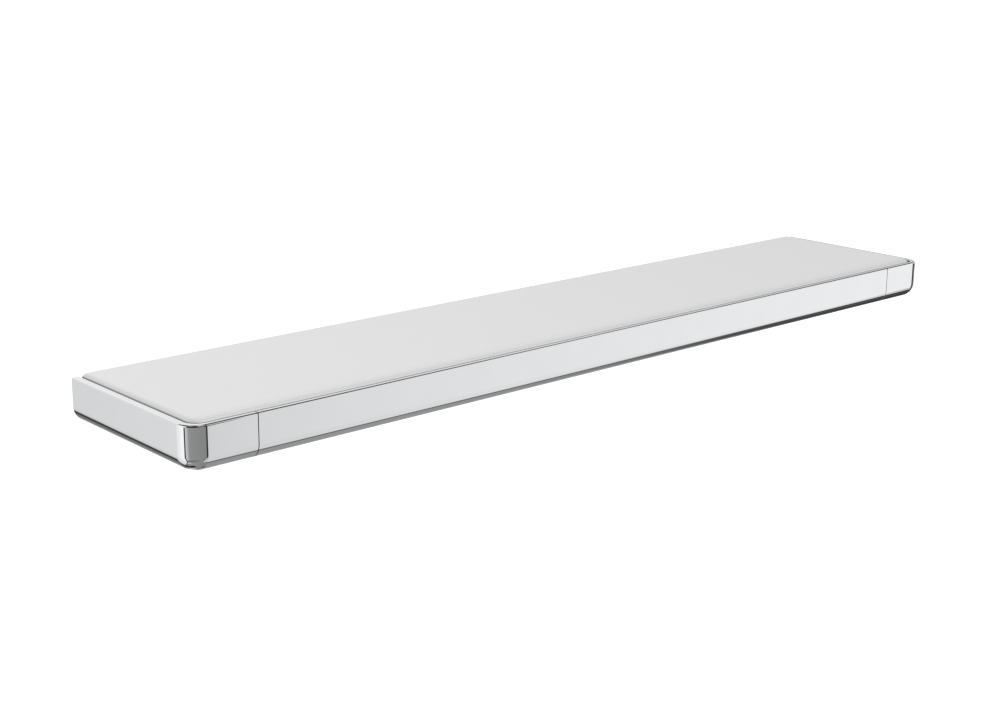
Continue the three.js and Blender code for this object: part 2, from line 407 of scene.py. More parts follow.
class Graph:
    """A node tree that is written as a chain of small calls."""

    def __init__(self, tree: bpy.types.NodeTree) -> None:
        """Takes the tree to write in."""
        self.tree = tree

    def node(self, kind: str, settings: dict | None = None, **inputs: object) -> bpy.types.Node:
        """Adds a node.

        Args:
            kind: the node's type name without its ShaderNode prefix.
            settings: the node's own options.
            inputs: values or sockets for its inputs, with underscores for spaces.

        Returns:
            The new node.
        """
        made = self.tree.nodes.new(f"ShaderNode{kind}")
        for option, value in (settings or {}).items():
            setattr(made, option, value)
        for name, value in inputs.items():
            self.feed(made.inputs[name.replace("_", " ")], value)
        return made

    def feed(self, socket: NodeSocket, value: object) -> None:
        """Links a socket to an input, or sets the input's value.

        Args:
            socket: the input.
            value: the socket to link, or the value to set.
        """
        if isinstance(value, NodeSocket):
            self.tree.links.new(value, socket)
        else:
            socket.default_value = value

    def math(self, operation: str, *values: object) -> NodeSocket:
        """Adds a Math node.

        Args:
            operation: the node's operation.
            values: numbers or sockets for its inputs.

        Returns:
            Its output.
        """
        made = self.node("Math", {"operation": operation})
        for socket, value in zip(made.inputs, values):
            self.feed(socket, value)
        return made.outputs[0]

    def ramp(
        self, value: NodeSocket, start: float, end: float, low: float, high: float, soft: bool = False,
    ) -> NodeSocket:
        """Maps a range of values to another.

        Args:
            value: the value to map.
            start: value that gives low.
            end: value that gives high.
            low: result at the start.
            high: result at the end.
            soft: ease in and out at both ends.

        Returns:
            The mapped value.
        """
        settings = {"interpolation_type": "SMOOTHSTEP" if soft else "LINEAR"}
        sizes = {"From_Min": start, "From_Max": end, "To_Min": low, "To_Max": high}
        return self.node("MapRange", settings, Value=value, **sizes).outputs[0]

    def within(self, value: NodeSocket, size: float, soft: float) -> NodeSocket:
        """Gives 1 where a value is nearer to 0 than a size, and 0 beyond it.

        Args:
            value: the value to test.
            size: the size.
            soft: half the width of the soft edge.

        Returns:
            The result, from 0 to 1.
        """
        return self.ramp(self.math("ABSOLUTE", value), size - soft, size + soft, 1, 0, soft=True)

    def mix(self, share: NodeSocket, first: object, second: object) -> NodeSocket:
        """Mixes two numbers.

        Args:
            share: share of the second number.
            first: the number at a share of 0.
            second: the number at a share of 1.

        Returns:
            The mixed number.
        """
        made = self.node("Mix", {"data_type": "FLOAT"})
        for socket, value in zip(made.inputs[:1] + made.inputs[2:4], (share, first, second)):
            self.feed(socket, value)
        return made.outputs[0]


def grain_group() -> bpy.types.NodeTree:
    """Builds, once, the node group that lays a fine grain over a surface.

    Returns:
        The group. It gives a mask from 0 to 1 and a roughness between its two limits.
    """
    name = "surface_grain"
    if name in bpy.data.node_groups:
        return bpy.data.node_groups[name]
    tree = bpy.data.node_groups.new(name, "ShaderNodeTree")
    for label, kind, start in (
        ("Scale", "NodeSocketFloat", 60.0), ("Stretch", "NodeSocketVector", (1, 1, 1)),
        ("Cells", "NodeSocketFloat", 0.0), ("Low", "NodeSocketFloat", 0.2), ("High", "NodeSocketFloat", 0.4),
    ):
        tree.interface.new_socket(label, in_out="INPUT", socket_type=kind).default_value = start
    for label in ("Mask", "Roughness"):
        tree.interface.new_socket(label, in_out="OUTPUT", socket_type="NodeSocketFloat")
    graph = Graph(tree)
    given = tree.nodes.new("NodeGroupInput").outputs
    place = graph.node("TexCoord").outputs["Object"]
    spread = graph.node("Mapping", Vector=place, Scale=given["Stretch"]).outputs[0]
    noise = graph.node("TexNoise", Vector=spread, Scale=given["Scale"], Detail=4.0, Roughness=0.6)
    cells = graph.node("TexVoronoi", Vector=spread, Scale=given["Scale"])
    shade = graph.node("SeparateColor", Color=cells.outputs["Color"]).outputs[0]
    mask = graph.mix(given["Cells"], noise.outputs[0], shade)
    result = tree.nodes.new("NodeGroupOutput").inputs
    graph.feed(result["Mask"], mask)
    graph.feed(result["Roughness"], graph.mix(mask, given["Low"], given["High"]))
    return tree


# ---------------------------------------------------------------- finishes


@dataclass(frozen=True)
class Finish:
    """A surface finish: two close tints and a roughness that follow a fine grain."""

    name: str
    light: tuple[float, float, float]
    dark: tuple[float, float, float]
    metallic: float
    smooth: float
    rough: float
    scale: float
    stretch: tuple[float, float, float] = (1, 1, 1)
    cells: float = 0.0
    relief: float = 0.0
    tint_stops: tuple[float, float] = (0.3, 0.7)

    def colour(self, graph: Graph, mask: NodeSocket) -> NodeSocket:
        """Adds the nodes that colour the surface.

        Args:
            graph: the material's graph.
            mask: the grain, from 0 to 1.

        Returns:
            The colour.
        """
        tint = graph.node("ValToRGB", Fac=mask)
        for stop, place, colour in zip(tint.color_ramp.elements, self.tint_stops, (self.light, self.dark)):
            stop.position = place
            stop.color = (*colour, 1)
        return tint.outputs[0]

    @staticmethod
    def shaded(graph: Graph, colour: NodeSocket, level: NodeSocket) -> NodeSocket:
        """Multiplies a colour by a level.

        Args:
            graph: the material's graph.
            colour: the colour to shade.
            level: the level to multiply it by.

        Returns:
            The shaded colour.
        """
        shade = graph.node("CombineColor", Red=level, Green=level, Blue=level).outputs[0]
        mixed = graph.node("Mix", {"data_type": "RGBA", "blend_type": "MULTIPLY"})
        for socket, value in zip((mixed.inputs[0], *mixed.inputs[6:8]), (1.0, colour, shade)):
            graph.feed(socket, value)
        return mixed.outputs[2]

    def build(self) -> Material:
        """Builds the material.

        Returns:
            The new material.
        """
        material = bpy.data.materials.new(self.name)
        material.use_nodes = True
        graph = Graph(material.node_tree)
        shader = material.node_tree.nodes["Principled BSDF"]
        grain = material.node_tree.nodes.new("ShaderNodeGroup")
        grain.node_tree = grain_group()
        for name, value in (
            ("Scale", self.scale), ("Stretch", self.stretch), ("Cells", self.cells),
            ("Low", self.smooth), ("High", self.rough),
        ):
            grain.inputs[name].default_value = value
        graph.feed(shader.inputs["Base Color"], self.colour(graph, grain.outputs["Mask"]))
        graph.feed(shader.inputs["Roughness"], grain.outputs["Roughness"])
        shader.inputs["Metallic"].default_value = self.metallic
        if self.relief:
            bump = graph.node("Bump", Height=grain.outputs["Mask"], Distance=self.relief)
            graph.feed(shader.inputs["Normal"], bump.outputs[0])
        return material


@dataclass(frozen=True)
class PlatedChrome(Finish):
    """Mirror chrome, darkened where the centre profile meets the end caps: bare sawn faces with painted shade
    in the joint.
    """

    # Painted shade in the joints: the level on the bare sawn faces, and how far along X they reach.
    sawn: float = 0.12
    seam_shade_from: float = 0.2597
    seam_shade_to: float = 0.26

    def colour(self, graph: Graph, mask: NodeSocket) -> NodeSocket:
        """Adds the nodes that colour the surface.

        Args:
            graph: the material's graph.
            mask: the grain, from 0 to 1.

        Returns:
            The colour.
        """
        place = graph.node("SeparateXYZ", Vector=graph.node("TexCoord").outputs["Object"]).outputs["X"]
        along = graph.math("ABSOLUTE", place)
        inside = graph.math("GREATER_THAN", along, self.seam_shade_from)
        outside = graph.math("LESS_THAN", along, self.seam_shade_to)
        # Paints shade on the bare sawn faces in the joints between the centre profile and the end caps.
        level = graph.mix(graph.math("MULTIPLY", inside, outside), 1.0, self.sawn)
        return self.shaded(graph, super().colour(graph, mask), level)


@dataclass(frozen=True)
class EtchedGlass(Finish):
    """Glass etched white, light on top and along the wall, with painted shade on its flanks in the gap by the
    rim, along the front and on its rounded ends, and painted light on its front-facing edge.
    """

    # Painted shade on the glass flanks in the gap by the chrome rim: the level, and the normal heights over
    # which it fades.
    gap_shade: float = 0.30
    gap_shade_turn: tuple[float, float] = (0.54, 0.70)
    # Painted shade along the front of the top, the ledge's shadow seen through the satin glass: the level and
    # the band across Y.
    front: float = 0.93
    front_shade_band: tuple[float, float] = (-0.112, -0.099)
    # Painted light on the front-facing edge of the glass: the gain, and the normal range over which it fades
    # in.
    front_edge_light: float = 1.3
    front_edge_light_turn: tuple[float, float] = (-0.78, -0.60)
    # Painted shade on the rounded ends of the glass: the level, and the sideways normal at which it is full.
    ends: float = 0.85
    end_shade_turn: float = 0.5

    def colour(self, graph: Graph, mask: NodeSocket) -> NodeSocket:
        """Adds the nodes that colour the surface.

        Args:
            graph: the material's graph.
            mask: the grain, from 0 to 1.

        Returns:
            The colour.
        """
        normal = graph.node("SeparateXYZ", Vector=graph.node("NewGeometry").outputs["Normal"]).outputs
        facing = graph.math("MAXIMUM", normal["Z"], normal["Y"])
        place = graph.node("SeparateXYZ", Vector=graph.node("TexCoord").outputs["Object"]).outputs["Y"]
        # Each factor below is painted light or shade: shade on the flanks, along the front and on the ends,
        # light on the front-facing edge.
        gap_shade = graph.ramp(facing, *self.gap_shade_turn, self.gap_shade, 1, soft=True)
        front = graph.ramp(place, *self.front_shade_band, self.front, 1, soft=True)
        front_edge_light = graph.ramp(normal["Y"], *self.front_edge_light_turn, self.front_edge_light, 1)
        ends = graph.ramp(graph.math("ABSOLUTE", normal["X"]), 0, self.end_shade_turn, 1, self.ends)
        sides, edges = graph.math("MULTIPLY", gap_shade, front), graph.math("MULTIPLY", front_edge_light, ends)
        return self.shaded(graph, super().colour(graph, mask), graph.math("MULTIPLY", sides, edges))


CHROME = PlatedChrome(
    "chrome_plate", light=(0.95, 0.96, 0.97), dark=(0.93, 0.94, 0.95),
    metallic=1, smooth=0.012, rough=0.03, scale=45,
)
SATIN_GLASS = EtchedGlass(
    "satin_glass_plate", light=(0.66, 0.66, 0.66), dark=(0.64, 0.64, 0.64),
    metallic=0, smooth=0.26, rough=0.34, scale=900,
)
SILICONE = Finish(
    "clear_silicone", light=(0.76, 0.78, 0.77), dark=(0.70, 0.72, 0.71),
    metallic=0, smooth=0.4, rough=0.55, scale=300, relief=2e-5,
)
ZINC = Finish(
    "zinc_plate", light=(0.62, 0.65, 0.68), dark=(0.50, 0.53, 0.56),
    metallic=1, smooth=0.24, rough=0.42, scale=260, cells=0.55, relief=1e-5,
)
ALUMINIUM = Finish(
    "drawn_aluminium", light=(0.66, 0.67, 0.68), dark=(0.52, 0.53, 0.54),
    metallic=1, smooth=0.25, rough=0.5, scale=500, stretch=(0.04, 1, 1),
)
STEEL = Finish(
    "turned_steel", light=(0.60, 0.60, 0.60), dark=(0.45, 0.45, 0.46),
    metallic=1, smooth=0.18, rough=0.36, scale=700,
)


# ---------------------------------------------------------------- sub-assemblies


@dataclass
class Tray:
    """The hollow chromed tray: an extruded centre profile between two cast end caps."""

    end_wall: float = 4.25 * MM
    front_wall: float = 2.75 * MM
    rear_wall: float = 3 * MM
    floor: float = 3 * MM
    corner_radius: float = 11 * MM
    recess_radius: float = 8 * MM
    bottom_radius: float = 9 * MM
    ledge_top: float = 6.75 * MM
    ledge_bottom: float = 4.75 * MM
    ledge_width: float = 9 * MM
    throat_radius: float = 2 * MM
    notch_spare: float = 1 * MM
    hole_spare: float = 0.3 * MM
    outer_round: float = 1.1 * MM
    inner_round: float = 0.3 * MM
    seam_round: float = 0.12 * MM
    segments: int = 28

    @staticmethod
    def span() -> tuple[Vector, Vector]:
        """Lowest and highest corner of the whole tray."""
        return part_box("left_end_cap")[0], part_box("right_end_cap")[1]

    def blank(self) -> BMesh:
        """Makes the tray's outer body in one length."""
        return tub(*self.span(), self.corner_radius, self.bottom_radius, self.segments)

    def hollows(self) -> list[BMesh]:
        """Makes the shapes that hollow the tray: the glass recess, the throat between the ledges, the well.

        Returns:
            The cutting shapes.
        """
        low, high = self.span()
        inset = Vector((self.end_wall, self.front_wall, 0))
        recess_low = Vector((low.x, low.y, self.ledge_top)) + inset
        recess_high = Vector((high.x - self.end_wall, REACH, high.z + REACH))
        recess = tub(recess_low, recess_high, self.recess_radius, 0, self.segments)
        well_low = Vector((low.x, low.y, low.z + self.floor)) + inset
        well_high = Vector((high.x - self.end_wall, -self.rear_wall, self.ledge_bottom))
        well = tub(well_low, well_high, self.recess_radius, self.bottom_radius - self.floor, self.segments)
        width = Vector((self.ledge_width, self.ledge_width, 0))
        throat_low = Vector((well_low.x, well_low.y, self.ledge_bottom - MM)) + width
        throat_high = Vector((well_high.x, well_high.y, self.ledge_top + MM)) - width
        throat = block(throat_low, throat_high)
        bevel(throat, edges_where(throat, lambda e: runs_along(e, 2)), self.throat_radius, segments=6)
        return [recess, throat, well]

    def openings(self) -> list[BMesh]:
        """Makes the cuts for the brackets and for every screw in the floor.

        Returns:
            The cutting shapes.
        """
        cuts = []
        floor_top = self.span()[0].z + self.floor
        for side in SIDES:
            low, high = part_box(f"{side}_wall_bracket")
            spare = Vector((self.notch_spare, 0, 0))
            notch_low = Vector((low.x, -self.rear_wall - MM, floor_top)) - spare
            cuts.append(block(notch_low, Vector((high.x, MM, self.ledge_bottom)) + spare))
            low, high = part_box(f"{side}_grub_screw")
            hole = Vector((*((low + high) / 2).xy, low.z - MM))
            cuts.append(prism((high.x - low.x) / 2 + self.hole_spare, hole, self.floor + 2 * MM, sides=32))
            for row in ROWS:
                for part in PARTS:
                    screw = SpliceScrew(f"splice_screw_{side}_{row}_{part}")
                    radius = screw.shank_radius + self.hole_spare
                    bottom = screw.tip() - UPWARD * self.hole_spare
                    cuts.append(prism(radius, bottom, floor_top + MM - bottom.z, sides=24))
        return cuts

    def build(self, dressing: Dressing) -> None:
        """Builds and dresses the centre profile and both end caps.

        Args:
            dressing: the chrome finish.
        """
        whole = combine(self.blank(), self.hollows() + self.openings(), Cut.AWAY)
        middle = middle_of("centre_profile")
        for name, seam_ways in (
            ("left_end_cap", [ACROSS]), ("centre_profile", [-ACROSS, ACROSS]), ("right_end_cap", [-ACROSS]),
        ):
            low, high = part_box(name)
            part = whole.copy()
            seams = [(low.x if way.x < 0 else high.x, way) for way in seam_ways]
            for x, way in seams:
                cut_off(part, ACROSS * x, way)
            sawn = edges_where(part, lambda e: any(is_at(e, 0, x) for x, _ in seams))
            bevel(part, sawn, self.seam_round, segments=2)
            rim = edges_where(part, lambda e: is_at(e, 2, high.z) and is_sharp(e) and not is_at(e, 1, high.y))
            outer = [edge for edge in rim if any(faces_away(face, middle) for face in edge.link_faces)]
            others = [edge for edge in rim if edge not in outer]
            inner = [edge for edge in others if not any(is_at(edge, 0, x) for x in (low.x, high.x))]
            bevel(part, inner, self.inner_round, segments=3)
            bevel(part, [edge for edge in outer if edge.is_valid], self.outer_round, segments=6)
            bmesh.ops.recalc_face_normals(part, faces=part.faces)
            dressing.dress(part, name)
        whole.free()


@dataclass
class GlassPlate:
    """The loose glass plate, softly rounded along its front and ends."""

    corner_radius: float = 7.25 * MM
    edge_radius: float = 4 * MM
    arris: float = 0.5 * MM
    segments: int = 24

    def build(self, dressing: Dressing) -> None:
        """Builds and dresses the plate.

        Args:
            dressing: the glass finish.
        """
        low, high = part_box("glass_shelf")
        bm = tub(low, high, self.corner_radius, 0, self.segments)
        upper = edges_where(bm, lambda e: is_at(e, 2, high.z) and not is_at(e, 1, high.y))
        bevel(bm, upper, self.edge_radius, segments=16)
        bevel(bm, edges_where(bm, is_sharp), self.arris, segments=3)
        dressing.dress(bm, "glass_shelf")


@dataclass
class Pads:
    """The eight clear pads that the glass rests on."""

    edge: float = 0.25 * MM

    def build(self, dressing: Dressing) -> None:
        """Builds and dresses the pads.

        Args:
            dressing: the silicone finish.
        """
        for row in ROWS:
            for side in SIDES:
                for place in ("inner", "outer"):
                    name = f"glass_pad_{row}_{side}_{place}"
                    low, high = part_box(name)
                    foot = Vector((*middle_of(name).xy, low.z))
                    pad = prism((high.x - low.x) / 2, foot, high.z - low.z, sides=32)
                    bevel(pad, edges_where(pad, is_sharp), self.edge, segments=3)
                    dressing.dress(pad, name)


@dataclass
class SpliceScrew:
    """A pan head screw with a hexagon socket, upright in the tray's floor."""

    name: str
    shank_radius: float = 1.5 * MM
    head_height: float = 2 * MM
    head_round: float = 0.6 * MM
    socket_radius: float = 1.25 * MM
    thread_depth: float = 0.3 * MM
    tip_chamfer: float = 0.3 * MM
    thread_start: float = 0.2 * MM
    thread_sink: float = 0.05 * MM
    pitch: float = 0.5 * MM

    def tip(self) -> Vector:
        """Lowest point of the screw, on its axis."""
        return Vector((*middle_of(self.name).xy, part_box(self.name)[0].z))

    def build(self, dressing: Dressing) -> None:
        """Builds and dresses the screw.

        Args:
            dressing: the steel finish.
        """
        low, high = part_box(self.name)
        length, radius = high.z - low.z, (high.x - low.x) / 2
        core, seat = self.shank_radius - self.thread_depth, length - self.head_height
        body = turned([
            (0, 0), (core - self.tip_chamfer, 0), (core, self.tip_chamfer), (core, seat),
            (radius, seat), (radius, length), (0, length),
        ])
        crown = edges_where(body, lambda e: is_at(e, 2, length) and is_sharp(e))
        bevel(body, crown, self.head_round, segments=5)
        socket_floor = UPWARD * (length - self.head_height / 2)
        socket = prism(self.socket_radius, socket_floor, self.head_height, sides=6)
        body = combine(body, [socket], Cut.AWAY)
        winding = thread(core - self.thread_sink, self.shank_radius, self.thread_start, seat, self.pitch)
        add_to(body, winding)
        place_at(body, self.tip())
        dressing.dress(body, self.name)


@dataclass
class Splices:
    """The four plates that join the end caps to the centre profile, with their screws."""

    corner_radius: float = 2 * MM
    edge: float = 0.25 * MM
    hole_radius: float = 1.8 * MM
    hole_length: float = 10 * MM

    def build(self, plate: Dressing, screw: Dressing) -> None:
        """Builds and dresses the plates and screws.

        Args:
            plate: the aluminium finish.
            screw: the steel finish.
        """
        for side in SIDES:
            for row in ROWS:
                name = f"splice_plate_{side}_{row}"
                low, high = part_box(name)
                screws = [SpliceScrew(f"splice_screw_{side}_{row}_{part}") for part in PARTS]
                holes = [prism(self.hole_radius, part.tip(), self.hole_length, sides=32) for part in screws]
                body = combine(rounded_plate(low, high, 2, self.corner_radius, self.edge), holes, Cut.AWAY)
                plate.dress(body, name)
                for part in screws:
                    part.build(screw)


@dataclass
class GrubScrew:
    """The socket screw that comes up through the floor and presses a bracket's arm against the ledges."""

    name: str
    socket_radius: float = 1.45 * MM
    socket_depth: float = 2.5 * MM
    chamfer: float = 0.5 * MM
    land: float = 0.3 * MM
    thread_depth: float = 0.35 * MM
    thread_sink: float = 0.05 * MM
    pitch: float = 0.8 * MM

    def build(self, dressing: Dressing) -> None:
        """Builds and dresses the screw.

        Args:
            dressing: the steel finish.
        """
        low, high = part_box(self.name)
        length, radius = high.z - low.z, (high.x - low.x) / 2
        core, rim, neck = radius - self.thread_depth, self.chamfer + self.land, length - self.chamfer
        body = turned([
            (0, 0), (radius - self.chamfer, 0), (radius, self.chamfer), (radius, rim),
            (core, rim + self.land), (core, neck), (core - self.chamfer, length), (0, length),
        ])
        socket = prism(self.socket_radius, -UPWARD * MM, self.socket_depth + MM, sides=6)
        body = combine(body, [socket], Cut.AWAY)
        add_to(body, thread(core - self.thread_sink, radius, rim, neck, self.pitch))
        place_at(body, Vector((*middle_of(self.name).xy, low.z)))
        dressing.dress(body, self.name)


@dataclass
class WallScrew:
    """A countersunk wood screw with a cross recess, driven into the wall."""

    name: str
    rim: float = 0.4 * MM
    shank_radius: float = 2.25 * MM
    core_radius: float = 1.55 * MM
    tip_length: float = 6 * MM
    thread_start: float = 9 * MM
    thread_slope: float = 0.4 * MM
    thread_sink: float = 0.1 * MM
    pitch: float = 1.9 * MM
    recess_length: float = 4.6 * MM
    recess_width: float = 1 * MM
    recess_depth: float = 1.6 * MM
    recess_taper: float = 0.6

    def build(self, dressing: Dressing) -> None:
        """Builds and dresses the screw.

        Args:
            dressing: the steel finish.
        """
        low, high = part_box(self.name)
        length, head = high.y - low.y, (high.x - low.x) / 2
        neck, cone = self.rim + head - self.shank_radius, length - self.tip_length
        body = turned([
            (0, 0), (head, 0), (head, self.rim),
            (self.shank_radius, neck), (self.shank_radius, self.thread_start),
            (self.core_radius, self.thread_start + self.thread_slope), (self.core_radius, cone), (0, length),
        ])
        bars = []
        for size in ((self.recess_length, self.recess_width), (self.recess_width, self.recess_length)):
            corner = Vector((*size, 0)) / 2
            bar = block(-corner - UPWARD * MM, corner + UPWARD * self.recess_depth)
            deep = [vert for vert in bar.verts if vert.co.z > 0]
            bmesh.ops.scale(bar, vec=(self.recess_taper, self.recess_taper, 1), verts=deep)
            bars.append(bar)
        body = combine(body, [combine(bars[0], bars[1:], Cut.JOIN)], Cut.AWAY)
        root = self.core_radius - self.thread_sink
        winding = thread(root, self.shank_radius, self.thread_start, length, self.pitch)
        for vert in winding.verts:
            taper = min(1.0, max(0.0, (length - vert.co.z) / self.tip_length))
            vert.co.xy *= taper
        add_to(body, winding)
        middle = middle_of(self.name)
        place_at(body, Vector((middle.x, low.y, middle.z)), INTO_WALL)
        dressing.dress(body, self.name)


@dataclass
class Bracket:
    """A hidden wall bracket: a screwed wall plate with a tapered arm, its grub screw and two wall screws."""

    side: str
    plate_thickness: float = 4 * MM
    corner_radius: float = 2 * MM
    arm_width: float = 12 * MM
    arm_rise: float = 1.75 * MM
    arm_flat: float = 50 * MM
    arm_tip: float = 6 * MM
    edge: float = 0.5 * MM
    spare: float = 0.3 * MM
    hole_length: float = 9 * MM

    def arm(self, low: Vector, high: Vector) -> BMesh:
        """Makes the arm: flat underneath near the wall, then tapering to its tip.

        Args:
            low: lowest corner of the bracket's box.
            high: highest corner of the bracket's box.

        Returns:
            The arm as a new bmesh.
        """
        middle = (low.x + high.x) / 2
        arm_low = Vector((middle - self.arm_width / 2, low.y, low.z + self.arm_rise))
        arm = block(arm_low, Vector((middle + self.arm_width / 2, -self.plate_thickness / 2, high.z)))
        geometry = arm.verts[:] + arm.edges[:] + arm.faces[:]
        bend = -TO_WALL * self.arm_flat
        bmesh.ops.bisect_plane(arm, geom=geometry, dist=TINY, plane_co=bend, plane_no=TO_WALL)
        for vert in arm.verts:
            if vert.co.y < low.y + TINY and vert.co.z < high.z - TINY:
                vert.co.z = high.z - self.arm_tip
        bevel(arm, edges_where(arm, is_sharp), self.edge, segments=4)
        return arm

    def build(self, bracket: Dressing, screw: Dressing) -> None:
        """Builds and dresses the bracket and its screws.

        Args:
            bracket: the zinc finish.
            screw: the steel finish.
        """
        name = f"{self.side}_wall_bracket"
        low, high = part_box(name)
        plate_low = Vector((low.x, -self.plate_thickness, low.z))
        plate = rounded_plate(plate_low, high, 1, self.corner_radius, self.edge)
        screws = [WallScrew(f"{self.side}_wall_screw_{place}") for place in ("inner", "outer")]
        holes = []
        for part in screws:
            box_low, box_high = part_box(part.name)
            head, shank = (box_high.x - box_low.x) / 2 + self.spare, part.shank_radius + self.spare
            neck, end = part.rim + head - self.spare - part.shank_radius, self.hole_length
            hole = turned([(0, -MM), (head, -MM), (head, part.rim), (shank, neck), (shank, end), (0, end)])
            middle = middle_of(part.name)
            place_at(hole, Vector((middle.x, plate_low.y, middle.z)), INTO_WALL)
            holes.append(hole)
        body = combine(combine(plate, [self.arm(low, high)], Cut.JOIN), holes, Cut.AWAY)
        bracket.dress(body, name)
        for part in screws:
            part.build(screw)
        GrubScrew(f"{self.side}_grub_screw").build(screw)


# ---------------------------------------------------------------- studio


@dataclass(frozen=True)
class Card:
    """A soft light or dark card round the shelf, given by the directions it fills, in degrees."""

    start: float
    end: float
    low: float
    high: float
    level_start: float
    level_end: float
    fade: float = 0.0
    soft: float = 1.0
    soft_height: float = 4.0
    bow: float = 1.0
    fade_height: float = 35.0

    def lay(self, graph: Graph, sky: "Sky", under: NodeSocket) -> NodeSocket:
        """Lays the card over what is behind it.

        Args:
            graph: the world's graph.
            sky: the directions to read.
            under: brightness behind the card.

        Returns:
            The brightness with the card in place.
        """
        middle, half = (self.start + self.end) / 2, (self.end - self.start) / 2
        offset = graph.math("WRAP", graph.math("SUBTRACT", sky.azimuth, middle), 180.0, -180.0)
        across = graph.within(offset, half, self.soft)
        centre, tall = (self.low + self.high) / 2, (self.high - self.low) / 2
        upward = graph.within(graph.math("SUBTRACT", sky.elevation, centre), tall, self.soft_height)
        share = graph.math("POWER", graph.ramp(offset, -half, half, 0, 1), self.bow)
        level = graph.mix(share, self.level_start, self.level_end)
        if self.fade:
            rise = graph.ramp(sky.elevation, self.low, self.low + self.fade_height, 1 - self.fade, 1)
            level = graph.math("MULTIPLY", level, rise)
        return graph.mix(graph.math("MULTIPLY", across, upward), under, level)


@dataclass(frozen=True)
class Sheet:
    """A soft light or dark sheet laid flat under the shelf, in units of its own depth below it."""

    along: float
    out: float
    length: float
    width: float
    turn: float
    level: float
    soft: float

    def lay(self, graph: Graph, sky: "Sky", under: NodeSocket) -> NodeSocket:
        """Lays the sheet over what is behind it.

        Args:
            graph: the world's graph.
            sky: the directions to read.
            under: brightness behind the sheet.

        Returns:
            The brightness with the sheet in place.
        """
        place = graph.node("CombineXYZ", X=sky.along, Y=sky.out).outputs[0]
        centre, turn = (self.along, self.out, 0), (0, 0, math.radians(self.turn))
        settings = {"vector_type": "TEXTURE"}
        local = graph.node("Mapping", settings, Vector=place, Location=centre, Rotation=turn).outputs[0]
        sides = graph.node("SeparateXYZ", Vector=local).outputs
        mask = sky.below
        for side, half in zip(sides, (self.length, self.width)):
            mask = graph.math("MULTIPLY", mask, graph.within(side, half, self.soft))
        return graph.mix(mask, under, self.level)


@dataclass(frozen=True)
class Sky:
    """Directions as the world sees them: bearings in degrees, and places on a level sheet below."""

    azimuth: NodeSocket
    elevation: NodeSocket
    along: NodeSocket
    out: NodeSocket
    below: NodeSocket

    @classmethod
    def read(cls, graph: Graph) -> "Sky":
        """Adds the nodes that read the direction.

        Args:
            graph: the world's graph.

        Returns:
            The direction's sockets.
        """
        shallow = 0.02
        parts = graph.node("SeparateXYZ", Vector=graph.node("TexCoord").outputs["Generated"]).outputs
        azimuth = graph.math("DEGREES", graph.math("ARCTAN2", parts["Y"], parts["X"]))
        elevation = graph.math("DEGREES", graph.math("ARCSINE", parts["Z"]))
        depth = graph.math("MAXIMUM", graph.math("MULTIPLY", parts["Z"], -1.0), shallow)
        along = graph.math("DIVIDE", parts["X"], depth)
        out = graph.math("DIVIDE", parts["Y"], depth)
        below = graph.ramp(parts["Z"], -shallow, 0.0, 1, 0)
        return cls(azimuth, elevation, along, out, below)


